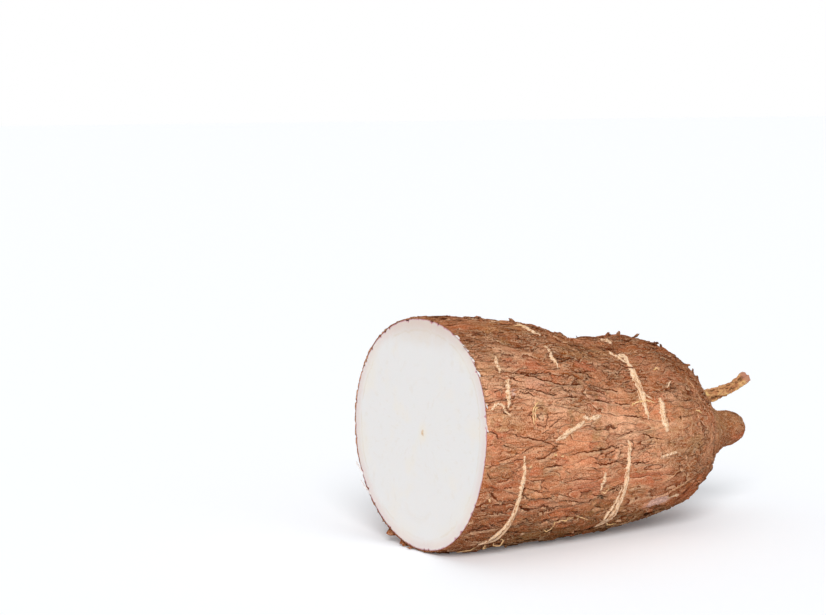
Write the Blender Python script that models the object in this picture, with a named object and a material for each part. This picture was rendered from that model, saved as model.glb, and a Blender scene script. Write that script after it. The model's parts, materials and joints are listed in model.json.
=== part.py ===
"""A piece of cassava root lying on its side: cut square across its thick end, narrowing at the
other end to the stub of its broken tail, with one thin side root on the shoulder.
Metres, +Z up, +X from the cut end towards the tail; the origin is under the middle, on the floor."""

import math

import bpy
import bmesh
import numpy as np
from mathutils import Vector

# The root grew along a nearly level axis. It starts at the middle of the cut face and dips towards the tail.
AXIS_DIP = math.radians(2.0)
CUT_CENTRE_HEIGHT = 0.0366
ALONG = Vector((math.cos(AXIS_DIP), 0.0, -math.sin(AXIS_DIP)))
UP = Vector((math.sin(AXIS_DIP), 0.0, math.cos(AXIS_DIP)))
SIDE = Vector((0.0, 1.0, 0.0))

# Distance along the axis, mean radius there, and how far the section sits above the straight axis.
STATIONS = (
    (0.000, 0.0362, 0.0000),
    (0.010, 0.0364, -0.0005),
    (0.024, 0.0355, -0.0010),
    (0.040, 0.0345, -0.0018),
    (0.056, 0.0315, -0.0042),
    (0.068, 0.0309, -0.0040),
    (0.080, 0.0301, -0.0026),
    (0.092, 0.0271, -0.0034),
    (0.101, 0.0220, -0.0045),
    (0.107, 0.0159, -0.0051),
    (0.112, 0.0111, -0.0052),
    (0.116, 0.0088, -0.0057),
    (0.119, 0.0071, -0.0056),
    (0.122, 0.0060, -0.0052),
    (0.126, 0.0060, -0.0050),
)
STUB_END = 0.132            # the stub's rounded end closes here, on a quarter ellipse from the last station
BODY_SIDES = 48
BODY_RINGS = 36             # from the cut face to the last station
RING_CROWDING = 1.4         # above 1, the rings crowd towards the tail, where the outline turns fastest
STUB_END_RINGS = 4

# The section isn't a true circle. Each lobe is (how many round the section, height as a share of the
# radius, angle of its crest from the +Y side). The cut end's lobes fade into the tail's along the axis.
CUT_LOBES = (
    (2, 0.006, math.radians(46)),
    (3, 0.020, math.radians(45)),
    (4, 0.009, math.radians(-147)),
)
TAIL_LOBES = (
    (2, 0.012, math.radians(34)),
    (3, 0.010, math.radians(-69)),
)
LOBE_FADE = 0.045

# The side root leaves the top of the shoulder and curves up: places on its middle line, and its radius there.
# They are measured from the foot of the vertical through the cut face's middle.
SIDE_ROOT = (
    (0.1040, -0.0010, 0.0365, 0.0027),
    (0.1105, -0.0005, 0.0384, 0.0025),
    (0.1165, 0.0000, 0.0388, 0.0021),
    (0.1225, 0.0003, 0.0397, 0.0019),
    (0.1282, 0.0003, 0.0413, 0.0016),
    (0.1333, 0.0000, 0.0436, 0.0019),
)
SIDE_ROOT_SIDES = 12
SIDE_ROOT_RINGS = 15

BARK_COLOUR = (0.42, 0.19, 0.10, 1.0)
FLESH_COLOUR = (0.80, 0.78, 0.72, 1.0)


def smooth_between(places, values, wanted):
    """Values of a smooth curve through the given ones, which doesn't swing past them, at the wanted places."""
    places = np.asarray(places)
    values = np.asarray(values)
    gaps = np.diff(places)
    rises = np.diff(values) / gaps
    slopes = np.concatenate([rises[:1], np.zeros(len(places) - 2), rises[-1:]])
    for i in range(1, len(places) - 1):
        if rises[i - 1] * rises[i] > 0:
            before = 2 * gaps[i] + gaps[i - 1]
            after = gaps[i] + 2 * gaps[i - 1]
            slopes[i] = (before + after) / (before / rises[i - 1] + after / rises[i])
    cell = np.clip(np.searchsorted(places, wanted, side="right") - 1, 0, len(gaps) - 1)
    gap = gaps[cell]
    t = (wanted - places[cell]) / gap
    start = (1 + 2 * t) * (1 - t) ** 2 * values[cell] + t * (1 - t) ** 2 * gap * slopes[cell]
    end = t**2 * (3 - 2 * t) * values[cell + 1] + t**2 * (t - 1) * gap * slopes[cell + 1]
    return start + end


def lobed(angle, lobes):
    """How much the section stands out or in at an angle, as a share of its radius."""
    return sum(height * math.cos(count * angle - crest) for count, height, crest in lobes)


def body_sections():
    """(distance along the axis, mean radius, rise above the axis) of every ring, from cut face to stub."""
    distances, radii, rises = (np.array(column) for column in zip(*STATIONS))
    last = distances[-1]
    share = np.linspace(0.0, 1.0, BODY_RINGS)
    rings = last * (1.0 - (1.0 - share) ** RING_CROWDING)
    means = smooth_between(distances, radii, rings)
    lifts = smooth_between(distances, rises, rings)
    sections = np.column_stack([rings, means, lifts]).tolist()
    last, radius, rise = STATIONS[-1]
    for i in range(1, STUB_END_RINGS + 1):
        turn = 0.5 * math.pi * i / (STUB_END_RINGS + 1)
        sections.append([last + (STUB_END - last) * math.sin(turn), radius * math.cos(turn), rise])
    return sections


def body_ring(distance, radius, rise):
    """One section of the root as a ring of points, pressed flat where it would sink below the floor."""
    centre = CUT_CENTRE_HEIGHT * Vector((0, 0, 1)) + distance * ALONG + rise * UP
    cut_share = math.exp(-((distance / LOBE_FADE) ** 2))
    ring = []
    for i in range(BODY_SIDES):
        angle = 2 * math.pi * i / BODY_SIDES
        swell = cut_share * lobed(angle, CUT_LOBES) + (1 - cut_share) * lobed(angle, TAIL_LOBES)
        outwards = math.cos(angle) * SIDE + math.sin(angle) * UP
        point = centre + radius * (1 + swell) * outwards
        point.z = max(point.z, 0.0)
        ring.append(point)
    return ring


def side_root_rings():
    """The side root's sections, square to its middle line."""
    knots = np.array(SIDE_ROOT)
    lengths = np.linalg.norm(np.diff(knots[:, :3], axis=0), axis=1)
    places = np.concatenate([[0.0], np.cumsum(lengths)])
    wanted = np.linspace(0.0, places[-1], SIDE_ROOT_RINGS)
    line = np.column_stack([smooth_between(places, knots[:, i], wanted) for i in range(4)])
    headings = np.gradient(line[:, :3], axis=0)
    rings = []
    for (x, y, z, radius), heading in zip(line.tolist(), headings.tolist()):
        over = SIDE.cross(Vector(heading)).normalized()
        across = over.cross(Vector(heading)).normalized()
        ring = []
        for i in range(SIDE_ROOT_SIDES):
            angle = 2 * math.pi * i / SIDE_ROOT_SIDES
            ring.append(Vector((x, y, z)) + radius * (math.cos(angle) * across + math.sin(angle) * over))
        rings.append(ring)
    return rings


def lofted_mesh(name, rings, pole=None):
    """A closed skin over the rings. The first is closed by one flat face, the last by another or by a pole."""
    bm = bmesh.new()
    loops = [[bm.verts.new(point) for point in ring] for ring in rings]
    sides = len(loops[0])
    bm.faces.new(loops[0])
    for lower, upper in zip(loops, loops[1:]):
        for i in range(sides):
            after = (i + 1) % sides
            bm.faces.new((lower[i], lower[after], upper[after], upper[i]))
    if pole is None:
        bm.faces.new(loops[-1])
    else:
        tip = bm.verts.new(pole)
        for i in range(sides):
            bm.faces.new((loops[-1][i], loops[-1][(i + 1) % sides], tip))
    bmesh.ops.recalc_face_normals(bm, faces=bm.faces)
    mesh = bpy.data.meshes.new(name)
    bm.to_mesh(mesh)
    bm.free()
    return mesh


def placed(name, mesh):
    """A new object of the mesh, in the scene."""
    thing = bpy.data.objects.new(name, mesh)
    bpy.context.collection.objects.link(thing)
    return thing


def finish_material(name, colour, roughness):
    """A plain, non-metallic surface of one colour."""
    material = bpy.data.materials.new(name)
    material.use_nodes = True
    surface = material.node_tree.nodes["Principled BSDF"]
    surface.inputs["Base Color"].default_value = colour
    surface.inputs["Roughness"].default_value = roughness
    surface.inputs["Metallic"].default_value = 0.0
    return material


for leftover in list(bpy.data.objects):
    bpy.data.objects.remove(leftover)

# The root's body: bark all round, pale flesh on the flat cut.
sections = body_sections()
stub_tip = CUT_CENTRE_HEIGHT * Vector((0, 0, 1)) + STUB_END * ALONG + sections[-1][2] * UP
root_mesh = lofted_mesh("cassava_root", [body_ring(*section) for section in sections], stub_tip)
root_mesh.shade_smooth()
root_mesh.set_sharp_from_angle(angle=math.radians(40))
root_mesh.materials.append(finish_material("bark", BARK_COLOUR, 0.85))
root_mesh.materials.append(finish_material("flesh", FLESH_COLOUR, 0.6))
cut_face = max(root_mesh.polygons, key=lambda face: face.area)
cut_face.material_index = 1
root = placed("cassava_root", root_mesh)

# The side root grew out of the shoulder, so it is one solid with the body.
side_root = placed("side_root_to_join", lofted_mesh("side_root", side_root_rings()))
side_root.data.shade_smooth()
side_root.data.materials.append(root_mesh.materials[0])
side_root.hide_render = True
side_root.display_type = "WIRE"
join = root.modifiers.new("grown_together", "BOOLEAN")
join.operation = "UNION"
join.solver = "EXACT"
join.object = side_root

# The whole root stands over the middle of its own outline.
corners = np.array([vertex.co for mesh in (root.data, side_root.data) for vertex in mesh.vertices])
middle = (corners.min(axis=0) + corners.max(axis=0)) / 2
for thing in (root, side_root):
    thing.location = (-middle[0], -middle[1], 0.0)
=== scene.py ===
"""The looks of one cut piece of cassava root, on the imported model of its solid."""

import json
import math
import random

import bpy
import numpy as np
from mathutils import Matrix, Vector
from mathutils.bvhtree import BVHTree


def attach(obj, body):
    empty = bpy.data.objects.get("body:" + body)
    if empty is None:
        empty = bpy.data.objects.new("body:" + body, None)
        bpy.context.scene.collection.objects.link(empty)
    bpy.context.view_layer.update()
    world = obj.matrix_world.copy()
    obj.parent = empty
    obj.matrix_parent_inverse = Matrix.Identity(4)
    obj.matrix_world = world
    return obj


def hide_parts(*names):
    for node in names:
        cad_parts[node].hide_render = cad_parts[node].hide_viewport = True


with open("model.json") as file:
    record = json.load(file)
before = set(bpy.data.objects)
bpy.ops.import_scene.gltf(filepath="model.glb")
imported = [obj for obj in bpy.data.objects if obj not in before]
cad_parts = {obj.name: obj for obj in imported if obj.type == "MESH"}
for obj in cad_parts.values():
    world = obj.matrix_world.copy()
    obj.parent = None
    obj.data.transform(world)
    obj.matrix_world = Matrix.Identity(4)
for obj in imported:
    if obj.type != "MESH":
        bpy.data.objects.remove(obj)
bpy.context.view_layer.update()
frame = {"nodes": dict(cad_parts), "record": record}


# --- The bark -------------------------------------------------------------------------------------
# The root's skin: a thin dry bark over the whole body and the broken tail stub, grown as one skin.
# It splits lengthwise as the root swells, and its plates curl and flake off in layers.

cut_mount = next(mount for mount in frame["record"]["mounts"] if mount["name"] == "cut_face")
CUT_CENTRE = Vector(cut_mount["pos_m"])
ALONG = -Vector(cut_mount["axis"]).normalized()
SIDE = Vector((0, 1, 0))
UP = ALONG.cross(SIDE)
CENTRE_ROW = np.array(CUT_CENTRE)
ALONG_ROW = np.array(ALONG)
MM = 0.001
PROBES = 24                     # rays round a section that find its middle
PROBE_STEP = 0.5 * MM
BARK_ROWS = 250                 # from the rim of the cut to the stub's tip, evenly spaced over the skin
BARK_COLUMNS = 388
SMOOTHING = 4                   # in rows and columns: takes the flats of the solid's facets out

solid = frame["nodes"]["cassava_root"].data
solid_tree = BVHTree.FromPolygons([v.co for v in solid.vertices], [p.vertices for p in solid.polygons])


def outwards(angle):
    """The direction away from the root's axis at an angle from its +Y side, turning up over the top."""
    return math.cos(angle) * SIDE + math.sin(angle) * UP


def skin_point(centre, angle):
    """Where the solid's skin is, looking out from a point inside it, or None past its end."""
    return solid_tree.ray_cast(centre, outwards(angle))[0]


def section_middles():
    """Distance from the cut, middle and mean radius of the root's section, step by step to the tip."""
    rows = []
    middle = CUT_CENTRE + PROBE_STEP * ALONG
    while True:
        distance = PROBE_STEP * (len(rows) + 1)
        centre = middle + (CUT_CENTRE + distance * ALONG - middle).dot(ALONG) * ALONG
        hits = [skin_point(centre, 2 * math.pi * i / PROBES) for i in range(PROBES)]
        if None in hits:
            return np.array(rows)
        middle = sum(hits, Vector()) / PROBES
        rows.append((distance, *middle, sum((hit - middle).length for hit in hits) / PROBES))


def blurred(grid, width, axis):
    """The grid of points averaged along one of its ways with its neighbours. It has been padded to spare."""
    reach = int(3 * width)
    weights = np.exp(-0.5 * (np.arange(-reach, reach + 1) / width) ** 2)
    weights /= weights.sum()
    size = grid.shape[axis] - 2 * reach
    slices = [np.take(grid, range(i, i + size), axis=axis) for i in range(2 * reach + 1)]
    return sum(weight * part for weight, part in zip(weights, slices))


sections = section_middles()
travel = np.concatenate([[0], np.cumsum(np.hypot(np.diff(sections[:, 0]), np.diff(sections[:, 4])))])
row_travel = np.linspace(0, travel[-1], BARK_ROWS)
rows = np.column_stack([np.interp(row_travel, travel, sections[:, i]) for i in range(5)])
angles = 2 * math.pi * np.arange(BARK_COLUMNS) / BARK_COLUMNS
skin = np.zeros((BARK_ROWS, BARK_COLUMNS, 3))
for i, (distance, *middle, radius) in enumerate(rows.tolist()):
    for j, angle in enumerate(angles.tolist()):
        skin[i, j] = skin_point(Vector(middle), angle) or middle

# The facets of the solid are smoothed away: round the root, then along it and on over the stub's tip.
reach = int(3 * SMOOTHING)
skin = blurred(np.concatenate([skin[:, -reach:], skin, skin[:, :reach]], axis=1), SMOOTHING, 1)
beyond_cut = 2 * skin[:1] - skin[reach:0:-1]
beyond_tip = np.roll(skin[-2:-reach - 2:-1], BARK_COLUMNS // 2, axis=1)
skin = blurred(np.concatenate([beyond_cut, skin, beyond_tip]), SMOOTHING, 0)
skin[0] -= (skin[0] - CENTRE_ROW) @ ALONG_ROW[:, None] * ALONG_ROW
skin[-1] = skin[-1].mean(axis=0)


class Signal:
    """An output of a node in a material's or a shape's node tree. Arithmetic on it adds Math nodes."""

    def __init__(self, tree, socket=None):
        self.tree = tree
        self.socket = socket

    def node(self, kind, settings, values, output=None):
        """A new node in the tree: its kind, its settings, then what its inputs hold or are linked to."""
        made = self.tree.nodes.new(kind)
        for name, value in settings.items():
            setattr(made, name, value)
        inputs = {socket.identifier: socket for socket in made.inputs}
        for name, value in values.items():
            if isinstance(value, Signal):
                self.tree.links.new(value.socket, inputs[name])
            else:
                inputs[name].default_value = value
        outputs = {socket.identifier: socket for socket in made.outputs}
        return Signal(self.tree, outputs[output] if output else made.outputs[0])

    def math(self, operation, first, second=0):
        """What a Math node makes of two signals or numbers."""
        values = {"Value": first, "Value_001": second}
        return self.node("ShaderNodeMath", {"operation": operation}, values)

    def __add__(self, other):
        return self.math("ADD", self, other)

    def __sub__(self, other):
        return self.math("SUBTRACT", self, other)

    def __rsub__(self, other):
        return self.math("SUBTRACT", other, self)

    def __mul__(self, other):
        return self.math("MULTIPLY", self, other)

    __radd__ = __add__
    __rmul__ = __mul__

    def __abs__(self):
        return self.math("ABSOLUTE", self)

    def or_more(self, other):
        """The signal or the other, whichever is greater."""
        return self.math("MAXIMUM", self, other)

    def fraction(self):
        """A saw: it climbs from 0 to 1 as the signal does, and drops back at each whole number."""
        return self.math("FRACT", self)

    def rise(self, low, high):
        """0 where the signal is low, 1 where it is high, softly between; it falls if low is above high."""
        values = {"Value": self, "From Min": low, "From Max": high}
        return self.node("ShaderNodeMapRange", {"interpolation_type": "SMOOTHSTEP"}, values)

    def part(self, name):
        """One of a vector's numbers, X, Y or Z."""
        return self.node("ShaderNodeSeparateXYZ", {}, {"Vector": self}, name)

    def vector(self, operation, by):
        return self.node("ShaderNodeVectorMath", {"operation": operation}, {"Vector": self, "Vector_001": by})

    def moved(self, by):
        """The vector, plus another."""
        return self.vector("ADD", by)

    def stretched(self, by):
        """The vector, times one number for each of its ways."""
        return self.vector("MULTIPLY", by)

    def shifted(self, by, times):
        """The vector moved by a colour, counted from its middle grey, times one number for each way."""
        return self.moved(by.moved((-0.5, -0.5, -0.5)).stretched(times))

    def cloud(self, scale, detail=2, roughness=0.5, output="Fac"):
        """Soft noise over the vector, mostly from 0.3 to 0.7."""
        values = {"Vector": self, "Scale": scale, "Detail": detail, "Roughness": roughness}
        return self.node("ShaderNodeTexNoise", {}, values, output)

    def cells(self, scale, output="Distance"):
        """Rounded cells over the vector: the distance to their middles, or a colour for each."""
        return self.node("ShaderNodeTexVoronoi", {}, {"Vector": self, "Scale": scale}, output)

    def blend(self, without, with_all):
        """The first colour where the signal is 0, the second where it is 1."""
        values = {"Factor_Float": self, "A_Color": without, "B_Color": with_all}
        return self.node("ShaderNodeMix", {"data_type": "RGBA"}, values, "Result_Color")


def tint(red, green, blue):
    """A colour as a material takes it, from what a painter's chart gives: three numbers from 0 to 255."""
    return (*(((value / 255 + 0.055) / 1.055) ** 2.4 for value in (red, green, blue)), 1)


DUSTY = tint(252, 190, 150)
CLAY = tint(234, 158, 116)
RED_UNDERBARK = tint(204, 112, 78)
RED_STAIN = tint(222, 126, 88)
LICHEN_DUST = tint(204, 162, 108)
STUB_DUST = tint(222, 160, 112)
PALE_UNDERBARK = tint(236, 174, 142)
OLD_BARK = tint(160, 82, 32)
UNDERSIDE = tint(112, 78, 42)
OLIVE_DUST = tint(176, 134, 92)
OLD_RED = tint(176, 114, 82)
OLD_RED_SHADE = tint(150, 78, 48)
# Painted shade: laid into the cracks, at the foot of the bark's steps and in the folds round the knots.
CREVICE_SHADE = tint(110, 40, 0)
# A pale tone with painted highlight, laid on the flakes' rims, the cracks' lips, the steps' crests and raised
# specks.
PALE_AND_HIGHLIGHT = tint(248, 204, 164)
BARED_RIND = tint(255, 212, 196)
GIRTH = 210                     # round the thick end, in millimetres
KNOT_RINGS = 1.25               # folds round a knot to each of its radii, and how many radii they reach out
KNOT_REACH = 2.2

# Cracks run along the root in families: how many lines round the root, how far they sway and shake from
# straight, their half width, and how deep they are, in millimetres, and where the noise lets them open.
CRACK_FAMILIES = (
    (17, 24, 1.8, 0.31, 0.8, (0.46, 0.61)),
    (33, 20, 1.6, 0.24, 0.65, (0.44, 0.59)),
    (62, 15, 1.3, 0.17, 0.4, (0.47, 0.63)),
    (118, 9, 0.9, 0.12, 0.24, (0.49, 0.67)),
)


def cracks_along(turn, slow, ragged, family, widening, openness):
    """One family of cracks: (how deep in one, how far up the raised lip on one side of it), from 0 to 1."""
    count, sway, shake, half_width, _, (closed, open_) = family
    half_width = half_width * widening
    slow = slow.moved((0.31 * count, 0, 0))
    wander = (slow.cloud(0.055, 1) - 0.5) * (sway * count / GIRTH)
    wander = wander + (slow.cloud(0.21, 1) - 0.5) * (0.5 * sway * count / GIRTH)
    wander = wander + ragged * (shake * count / GIRTH)
    aside = ((turn * count + wander).fraction() - 0.5) * (GIRTH / count)
    strength = slow.moved((40, 0, 0)).cloud(0.12, 2).rise(closed, open_) * openness
    crack = (strength * half_width - abs(aside)).rise(0, 0.6 * half_width)
    lip = aside.rise(5 * half_width, 1.5 * half_width) * aside.rise(0, 1.5 * half_width) * strength
    return crack, lip


def bark_parts(place, grain, around, widening=1):
    """The bark's plates and layers, and its cracks with their lips. place and grain are in millimetres."""
    turn = place.math("ARCTAN2", around.part("Y"), around.part("X")) * (0.5 / math.pi)
    bend = place.cloud(0.09, 2, 0.55, "Color")
    ragged = place.cloud(0.8, 2, 0.6, "Color")
    slow = place.stretched((0.42, 1, 1))
    flow = grain.shifted(bend, (1, 3.5, 3.5)).shifted(ragged, (0.1, 0.35, 0.35))
    plates = flow.cells(0.13, "Color").part("X")
    level = flow.cloud(0.1, 1.5, 0.5)
    stepped = abs(level - 0.5).rise(0.165, 0.11) * around.part("Z").rise(0, 0.5)
    layers = ((level * 9).fraction() - 0.5) * stepped + 0.5
    chips = (flow.moved((9, 4, 2)).cloud(0.36, 2, 0.5) * 5).fraction()
    folds = flow.moved((3, 8, 1)).cloud(0.28, 1.5)
    shaking = ragged.part("Y") - 0.5
    openness = around.part("Z")
    families = [cracks_along(turn, slow, shaking, family, widening, openness) for family in CRACK_FAMILIES]
    return plates, layers, chips, folds, families


def bark_height(plates, layers, chips, folds, families):
    """How far the bark stands out of its mean skin, in millimetres."""
    height = 0.35 * plates + 0.6 * (layers - 0.5) + 0.2 * chips - 0.25
    height = height + 1.1 * (folds - 0.5)
    for (crack, lip), (*_, depth, _) in zip(families, CRACK_FAMILIES):
        height = height - depth * crack + 0.5 * depth * lip
    return height


def new_material(name, *attributes):
    """A new material, and a signal for each vector that it reads from the mesh's points."""
    material = bpy.data.materials.new(name)
    material.use_nodes = True
    net = Signal(material.node_tree)
    return material, *(net.node("ShaderNodeAttribute", {"attribute_name": attribute}, {}, "Vector")
                       for attribute in attributes)


def coated(colour, *coats):
    """The colour with others laid over it, one after another: how much of each, then the colour itself."""
    for share, coat in coats:
        colour = share.blend(colour, coat)
    return colour


def finished(material, colour, height, bump, roughness, specular):
    """The material, with its colour and relief. bump is the relief's strength and its depth in metres."""
    surface = material.node_tree.nodes["Principled BSDF"]
    strength, distance = bump
    relief = colour.node("ShaderNodeBump", {}, {"Height": height, "Strength": strength, "Distance": distance})
    material.node_tree.links.new(colour.socket, surface.inputs["Base Color"])
    material.node_tree.links.new(relief.socket, surface.inputs["Normal"])
    surface.inputs["Roughness"].default_value = roughness
    surface.inputs["Specular IOR Level"].default_value = specular
    return material


def bark_material(name):
    """Dry, dusty bark: clay pink over red underbark, with painted shade in the cracks and painted highlight
    on the flakes' rims.
    """
    material, place, grain, around, worn, marks = new_material(
        name, "place", "grain", "around", "worn", "marks")
    plates, layers, chips, folds, families = bark_parts(place, grain, around)
    distance = place.part("X")
    upwards = around.part("Y")
    openness = around.part("Z")
    fibres = grain.stretched((0.3, 1, 1)).cloud(1.3, 3, 0.6)
    dust_shade_and_highlight = place.cloud(2.6, 2, 0.7)
    patches = place.cloud(0.05, 3, 0.6)
    drift = place.moved((17, 3, 11)).stretched((0.6, 1, 1)).cloud(0.07, 3, 0.6)
    ragged = place.cloud(0.5, 4, 0.65) - 0.5
    red = worn.part("X") + 0.9 * ragged
    colour = coated(
        (plates * 0.5 + patches * 0.9 - 0.2).rise(0.25, 0.7).blend(CLAY, DUSTY),
        ((grain.cloud(0.1, 3) - 0.15 * plates).rise(0.37, 0.25) * 0.7, RED_UNDERBARK),
        ((place.cloud(0.13, 4, 0.7) + 0.12 * layers).rise(0.56, 0.74) * 0.7, OLIVE_DUST),
        ((worn.part("Y") + 1.2 * ragged).rise(0.25, 0.65) * 0.65, OLIVE_DUST),
        (upwards.rise(0.45, 0.92) * distance.rise(116, 106) * 0.5, OLD_BARK),
        # Darker underneath: partly the dark olive bark there, partly painted shade where the root turns down
        # to the floor.
        (upwards.rise(-0.15, -0.65) * 0.48, OLD_BARK),
        ((upwards + 0.3 * ragged).rise(-0.52, -0.84) * 0.92, UNDERSIDE),
        (distance.rise(62, 92) * 0.46, OLD_BARK),
        (distance.rise(108, 118) * 0.12, UNDERSIDE),
        (openness.rise(0.34, 0.1) * 0.6, OLD_RED),
        (distance.rise(111, 121) * upwards.rise(-0.3, 0.4) * 0.6, STUB_DUST),
        (drift.rise(0.47, 0.34) * 0.45, LICHEN_DUST),
        (drift.rise(0.52, 0.65) * 0.5, RED_STAIN),
        (red.rise(0.22, 0.5) * (0.75 - 0.25 * upwards.rise(0, -0.6)), RED_UNDERBARK),
        (red.rise(-0.22, -0.5) * 0.8, PALE_UNDERBARK),
        (red.rise(-0.62, -0.8) * 0.9, BARED_RIND),
        (distance.rise(22, 8) * upwards.rise(-0.1, -0.45) * 0.55, OLD_RED_SHADE))
    # Some of it is worn smooth: the bare places, the underside, and soft patches all over.
    smooth = place.moved((31, 7, 3)).cloud(0.08, 2).rise(0.41, 0.54)
    smooth = smooth.or_more(abs(red).rise(0.22, 0.5)).or_more(0.5 * upwards.rise(0, -0.45))
    ageing = 0.5 * upwards.rise(0.25, 0.75) + 0.5 * distance.rise(68, 92)
    rough = (1 - 0.6 * smooth) * (1 + ageing)
    colour = coated(
        colour,
        # The specks and fibres are dark where they sink and pale where they stand up: their own colour, with
        # painted shade in the pits and painted highlight on the crests.
        (dust_shade_and_highlight.rise(0.5, 0.63) * (0.4 + 0.5 * rough), OLD_BARK),
        (dust_shade_and_highlight.rise(0.46, 0.33) * (0.4 + 0.5 * rough), PALE_AND_HIGHLIGHT),
        (fibres.rise(0.5, 0.62) * 0.6 * rough, OLD_BARK),
        (fibres.rise(0.44, 0.32) * 0.4 * rough, PALE_AND_HIGHLIGHT),
        # Each step of the layers and chips: painted highlight on its raised edge, painted shade at its foot.
        (layers.rise(0.9, 1) * 0.6, PALE_AND_HIGHLIGHT),
        (layers.rise(0.12, 0) * 0.8, CREVICE_SHADE),
        (chips.rise(0.8, 1) * 0.45 * rough, PALE_AND_HIGHLIGHT),
        (chips.rise(0.2, 0) * 0.65 * rough, CREVICE_SHADE))
    # Each crack is painted with shade, and its raised lip with a painted highlight.
    for (crack, lip), share in zip(families, (0.9, 0.75, 0.55 * rough, 0.35 * rough)):
        colour = coated(colour, (lip * (0.4 * share), PALE_AND_HIGHLIGHT), (crack * share, CREVICE_SHADE))
    # The long splits, with painted shade under the lifted plate on one side of them and painted highlight on
    # its edge, and the folds that ring the knots, with painted shade in them round the knots' pale middles.
    shake = place.cloud(0.8, 3, 0.65) - 0.5
    aside = marks.part("X") + 1.1 * shake
    opened = marks.part("Y")
    split = (opened * (1 + 1.5 * ragged) - abs(aside)).rise(-0.04, 0.12)
    lifted = aside.rise(1.5, 0.5) * aside.rise(0.05, 0.45) * opened.rise(0.05, 0.25)
    away = worn.part("Z") + 0.5 * shake
    fold = abs((away * KNOT_RINGS).fraction() - 0.5).rise(0.16, 0.04) * away.rise(KNOT_REACH, 1.5)
    fold = fold * place.moved((5, 5, 5)).cloud(0.45, 1).rise(0.44, 0.56) * 0.8
    groove = split.or_more(fold)
    colour = coated(
        colour,
        (lifted * 0.5, PALE_AND_HIGHLIGHT),
        (away.rise(0.75, 0.35) * 0.6, PALE_AND_HIGHLIGHT),
        (groove * 0.9, CREVICE_SHADE))
    height = bark_height(plates, layers, chips, folds, families) - 0.5 * groove + 0.3 * lifted
    height = height - 0.8 * dust_shade_and_highlight * (0.5 + 0.5 * rough) - 0.5 * fibres * rough
    return finished(material, colour, height * (1 + 0.6 * ageing), (1, 0.0012), 0.9, 0)


def worked_out(thing, name, sources, build):
    """The number that build gives at each point of a mesh, from the same nodes that its material uses."""
    group = bpy.data.node_groups.new(name, "GeometryNodeTree")
    group.interface.new_socket("Geometry", in_out="INPUT", socket_type="NodeSocketGeometry")
    group.interface.new_socket("Geometry", in_out="OUTPUT", socket_type="NodeSocketGeometry")
    net = Signal(group)
    mesh_in = net.node("NodeGroupInput", {}, {})
    vectors = [net.node("GeometryNodeInputNamedAttribute", {"data_type": "FLOAT_VECTOR"}, {"Name": source})
               for source in sources]
    kept = net.node("GeometryNodeStoreNamedAttribute", {"data_type": "FLOAT", "domain": "POINT"},
                    {"Geometry": mesh_in, "Name": name, "Value": build(*vectors)})
    group.links.new(kept.socket, group.nodes.new("NodeGroupOutput").inputs[0])
    thing.modifiers.new(name, "NODES").node_group = group
    bpy.ops.object.modifier_apply(modifier=name)
    values = np.zeros(len(thing.data.vertices), np.float32)
    thing.data.attributes[name].data.foreach_get("value", values)
    thing.data.attributes.remove(thing.data.attributes[name])
    return values


def bark_relief(place, grain, around):
    """The bark's height as its mesh takes it: only the two widest families of cracks, widened to its grid."""
    plates, layers, chips, folds, families = bark_parts(place, grain, around, widening=1.8)
    return bark_height(plates, layers, chips, folds, families[:2])


def swell(thing, heights):
    """Move a mesh's points outwards by so many millimetres each, none of them below the floor."""
    rows = []
    for values, name in ((thing.data.vertices, "co"), (thing.data.vertex_normals, "vector")):
        flat = np.zeros(len(values) * 3, np.float32)
        values.foreach_get(name, flat)
        rows.append(flat.reshape(-1, 3).astype(float))
    points = rows[0] + rows[1] * heights[:, None] * MM
    points[:, 2] = np.maximum(points[:, 2], 0)
    thing.data.vertices.foreach_set("co", points.astype(np.float32).ravel())
    thing.data.update()


def grid_piece(name, grid):
    """A sheet through a grid of points, rows by columns, with its UV map over it."""
    count, across = grid.shape[:2]
    bpy.ops.object.select_all(action="DESELECT")
    bpy.ops.mesh.primitive_grid_add(x_subdivisions=across - 1, y_subdivisions=count - 1, size=1)
    piece = bpy.context.object
    piece.name = name
    piece.data.name = name
    piece.data.uv_layers[0].name = "OFBake"
    piece.data.vertices.foreach_set("co", grid.astype(np.float32).ravel())
    return piece


def write_vectors(thing, **vectors):
    """Keep vectors for the points of a mesh, under their names, for its material to read."""
    for name, values in vectors.items():
        attribute = thing.data.attributes.new(name, "FLOAT_VECTOR", "POINT")
        attribute.data.foreach_set("vector", values.astype(np.float32).ravel())


def sealed(thing):
    """Merge the points that a closed skin's seam and poles share, and turn its faces outwards."""
    bpy.ops.object.mode_set(mode="EDIT")
    bpy.ops.mesh.select_all(action="SELECT")
    bpy.ops.mesh.remove_doubles(threshold=0.000001)
    bpy.ops.mesh.normals_make_consistent(inside=False)
    bpy.ops.mesh.faces_shade_smooth()
    bpy.ops.object.mode_set(mode="OBJECT")


# The plates are long on the body, and shorter and rounder towards the tail.
GRAIN_LENGTH = 0.24
TAIL_GRAIN_LENGTH = 0.75
GRAIN_CHANGE = (65, 105)
# How far the cracks open, and the plates stand up, by the distance from the cut: the cracks close towards the
# stub, and the saw pressed the plates down at the rim.
CRACKS_CLOSE = ((60, 95, 108, 116), (1, 0.65, 0.45, 0.1))
RIM_LIES_FLAT = ((0, 2.5), (0.35, 1))
BARK_THICKNESS = 0.4 * MM
CUT_RECESS = 1.2 * MM           # the bark goes on behind the flesh and closes there

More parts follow.
